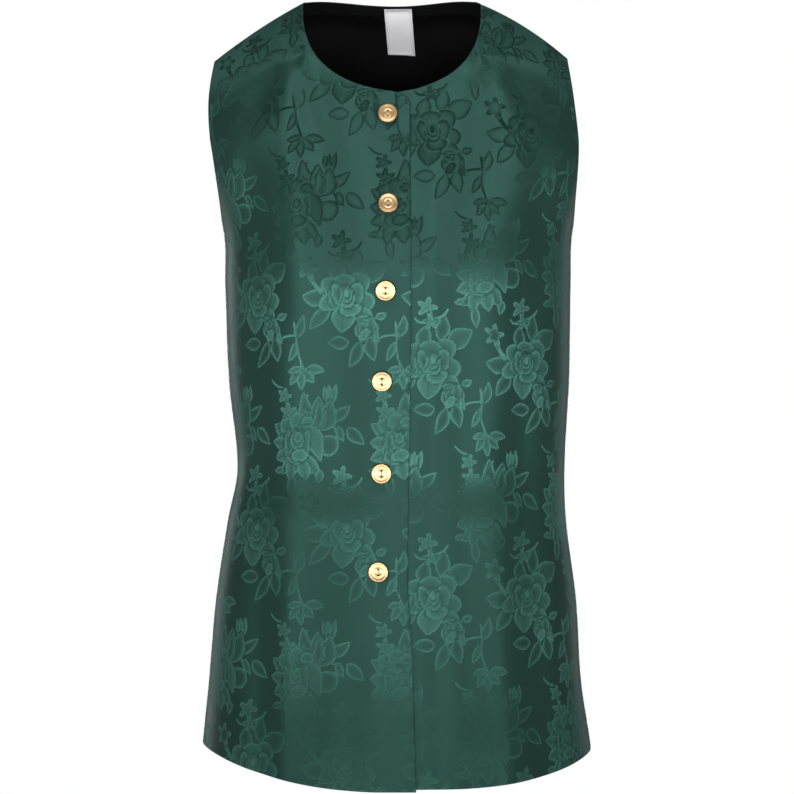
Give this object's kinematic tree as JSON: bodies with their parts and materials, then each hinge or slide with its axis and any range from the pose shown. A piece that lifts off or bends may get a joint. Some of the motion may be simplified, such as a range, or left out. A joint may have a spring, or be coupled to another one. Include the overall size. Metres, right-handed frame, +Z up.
{
  "type": "waistcoat",
  "caption": "Long sleeveless button-front waistcoat in floral brocade, filled out as worn, with a round neck, curved front hem and lined back.",
  "frame": {"origin": "on the centre line of the front, level with the neck ends of the two shoulder seams, where the wearer's shoulders carry the waistcoat", "axes": "+Z up, -Y towards the front opening, +X towards the wearer's left"},
  "size_m": [0.3878, 0.2573, 0.778],
  "materials": {
    "brocade": "dark green satin ground with a matt woven flower pattern",
    "lining": "smooth black lining",
    "label": "white satin ribbon, blank",
    "gilt": "polished pale gilt"
  },
  "bodies": {
    "root": {"front_right": "brocade", "front_left": "brocade", "back": "brocade", "back_lining": "lining", "care_label": "label", "button_1": "gilt", "button_2": "gilt", "button_3": "gilt", "button_4": "gilt", "button_5": "gilt", "button_6": "gilt"}
  },
  "joints": []
}
